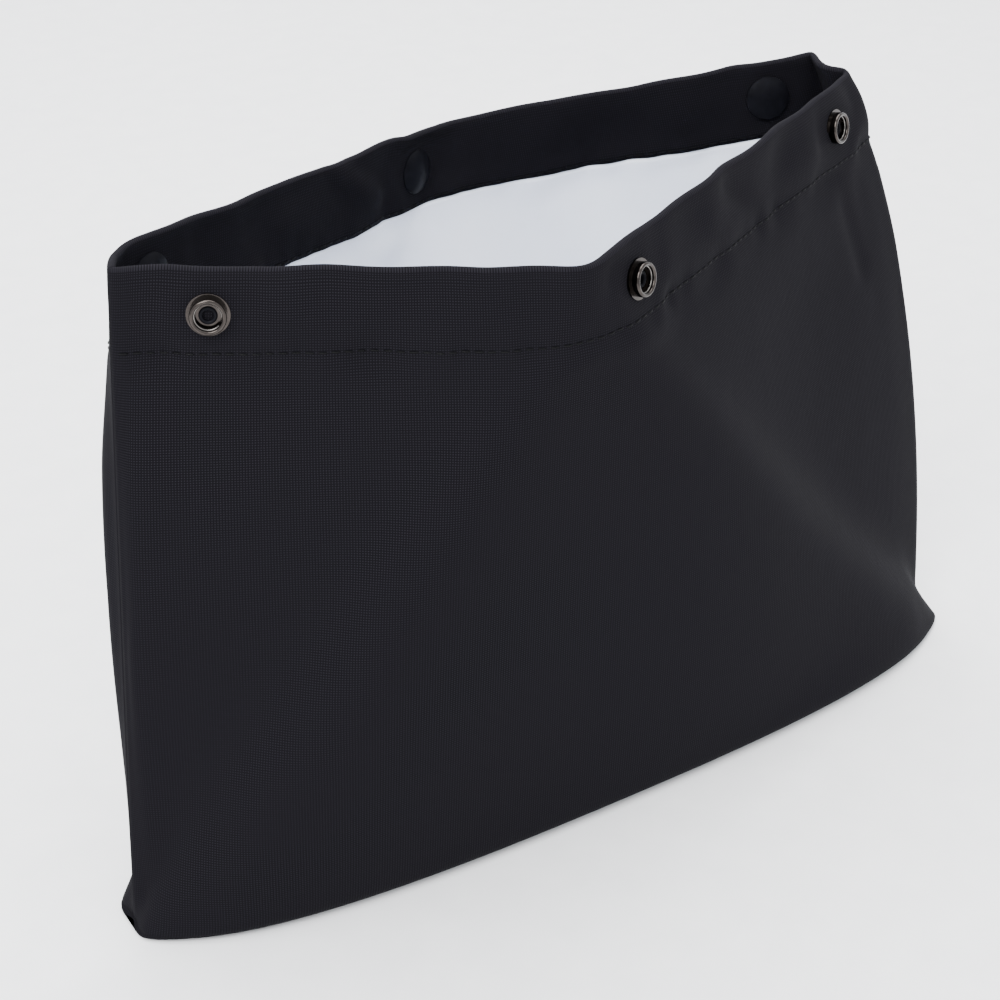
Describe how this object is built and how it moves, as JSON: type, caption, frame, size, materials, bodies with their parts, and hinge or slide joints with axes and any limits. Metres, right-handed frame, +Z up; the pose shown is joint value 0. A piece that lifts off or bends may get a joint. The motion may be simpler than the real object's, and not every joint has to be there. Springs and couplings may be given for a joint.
{
  "type": "film changing bag",
  "caption": "Stand-up soft pouch of black nylon with a white coated lining and a folded hem round its mouth, closed by snap fasteners.",
  "frame": {"origin": "centre of the flat bottom, on the ground", "axes": "+X along the pouch to the right seen from the front, +Y to the back, +Z up"},
  "size_m": [0.336, 0.1422, 0.222],
  "materials": {
    "shell_nylon": "fine plain weave, slight sheen",
    "facing_nylon": "fine plain weave, slight sheen",
    "lining_white": "smooth white coating",
    "thread_black": "polyester thread",
    "cap_black": "gloss black enamel",
    "socket_gunmetal": "dark nickel plating",
    "spring_steel": "bright wire"
  },
  "bodies": {
    "bottom": {"bottom_lining": "lining_white", "bottom_shell": "shell_nylon"},
    "front_middle": {"front_middle_lining": "lining_white", "front_middle_shell": "shell_nylon"},
    "front_left": {"front_left_hem_facing": "facing_nylon", "front_left_hem_stitching": "thread_black", "front_left_lining": "lining_white", "front_left_shell": "shell_nylon", "front_left_snap_cap": "cap_black", "front_left_snap_ring_spring": "spring_steel", "front_left_snap_socket": "socket_gunmetal"},
    "front_right": {"front_middle_snap_cap": "cap_black", "front_middle_snap_ring_spring": "spring_steel", "front_middle_snap_socket": "socket_gunmetal", "front_right_hem_facing": "facing_nylon", "front_right_hem_stitching": "thread_black", "front_right_lining": "lining_white", "front_right_shell": "shell_nylon", "front_right_snap_cap": "cap_black", "front_right_snap_ring_spring": "spring_steel", "front_right_snap_socket": "socket_gunmetal"},
    "front_right_end": {"front_right_end_hem_facing": "facing_nylon", "front_right_end_hem_stitching": "thread_black", "front_right_end_lining": "lining_white", "front_right_end_shell": "shell_nylon"},
    "back_middle": {"back_middle_lining": "lining_white", "back_middle_shell": "shell_nylon"},
    "back_left": {"back_left_hem_facing": "facing_nylon", "back_left_hem_stitching": "thread_black", "back_left_lining": "lining_white", "back_left_shell": "shell_nylon", "back_left_snap_cap": "cap_black", "back_left_snap_ring_spring": "spring_steel", "back_left_snap_socket": "socket_gunmetal", "back_middle_snap_cap": "cap_black", "back_middle_snap_ring_spring": "spring_steel", "back_middle_snap_socket": "socket_gunmetal"},
    "back_left_end": {"back_left_end_hem_facing": "facing_nylon", "back_left_end_hem_stitching": "thread_black", "back_left_end_lining": "lining_white", "back_left_end_shell": "shell_nylon"},
    "back_right": {"back_right_hem_facing": "facing_nylon", "back_right_hem_stitching": "thread_black", "back_right_lining": "lining_white", "back_right_shell": "shell_nylon", "back_right_snap_cap": "cap_black", "back_right_snap_ring_spring": "spring_steel", "back_right_snap_socket": "socket_gunmetal"},
    "back_right_end": {"back_right_end_hem_facing": "facing_nylon", "back_right_end_hem_stitching": "thread_black", "back_right_end_lining": "lining_white", "back_right_end_shell": "shell_nylon"}
  },
  "joints": [
    {"name": "front_middle_swing", "type": "hinge", "parent": "bottom", "child": "front_middle", "pos_m": [0, -0.002, 0.002], "axis": [-1, 0, 0], "range_deg": [0, 17.53]},
    {"name": "back_middle_swing", "type": "hinge", "parent": "bottom", "child": "back_middle", "pos_m": [0, 0.002, 0.002], "axis": [1, 0, 0], "range_deg": [0, 17.52]},
    {"name": "front_left_fold", "type": "hinge", "parent": "front_middle", "child": "front_left", "pos_m": [-0.168, -0.002, 0.002], "axis": [0.5371, -0.1765, 0.8248], "range_deg": [0, 32.27]},
    {"name": "front_right_fold", "type": "hinge", "parent": "front_middle", "child": "front_right", "pos_m": [0.168, -0.002, 0.002], "axis": [0.6654, 0.1562, -0.7299], "range_deg": [0, 32.62]},
    {"name": "back_left_fold", "type": "hinge", "parent": "back_middle", "child": "back_left", "pos_m": [-0.168, 0.002, 0.002], "axis": [-0.6196, -0.3256, -0.7142], "range_deg": [0, 32.61]},
    {"name": "back_right_fold", "type": "hinge", "parent": "back_middle", "child": "back_right", "pos_m": [0.168, 0.002, 0.002], "axis": [-0.5785, 0.3384, 0.7422], "range_deg": [0, 27.6]},
    {"name": "front_right_end_fold", "type": "hinge", "parent": "front_right", "child": "front_right_end", "pos_m": [0.168, -0.002, 0.002], "axis": [0.1951, -0.102, -0.9755], "range_deg": [0, 44.01]},
    {"name": "back_left_end_fold", "type": "hinge", "parent": "back_left", "child": "back_left_end", "pos_m": [-0.168, 0.002, 0.002], "axis": [-0.1516, -0.1204, -0.9811], "range_deg": [0, 12.01]},
    {"name": "back_right_end_fold", "type": "hinge", "parent": "back_right", "child": "back_right_end", "pos_m": [0.168, 0.002, 0.002], "axis": [-0.1835, 0.2054, 0.9613], "range_deg": [0, 62.01]}
  ],
  "couplings": [
    {"joint": "back_middle_swing", "follows": "front_middle_swing", "ratio": 0.9989},
    {"joint": "front_left_fold", "follows": "front_middle_swing", "ratio": 1.8405},
    {"joint": "front_right_fold", "follows": "front_middle_swing", "ratio": 1.8602},
    {"joint": "back_left_fold", "follows": "front_middle_swing", "ratio": 1.8596},
    {"joint": "back_right_fold", "follows": "front_middle_swing", "ratio": 1.5736},
    {"joint": "front_right_end_fold", "follows": "front_middle_swing", "ratio": 2.5101},
    {"joint": "back_left_end_fold", "follows": "front_middle_swing", "ratio": 0.6846},
    {"joint": "back_right_end_fold", "follows": "front_middle_swing", "ratio": 3.537}
  ]
}
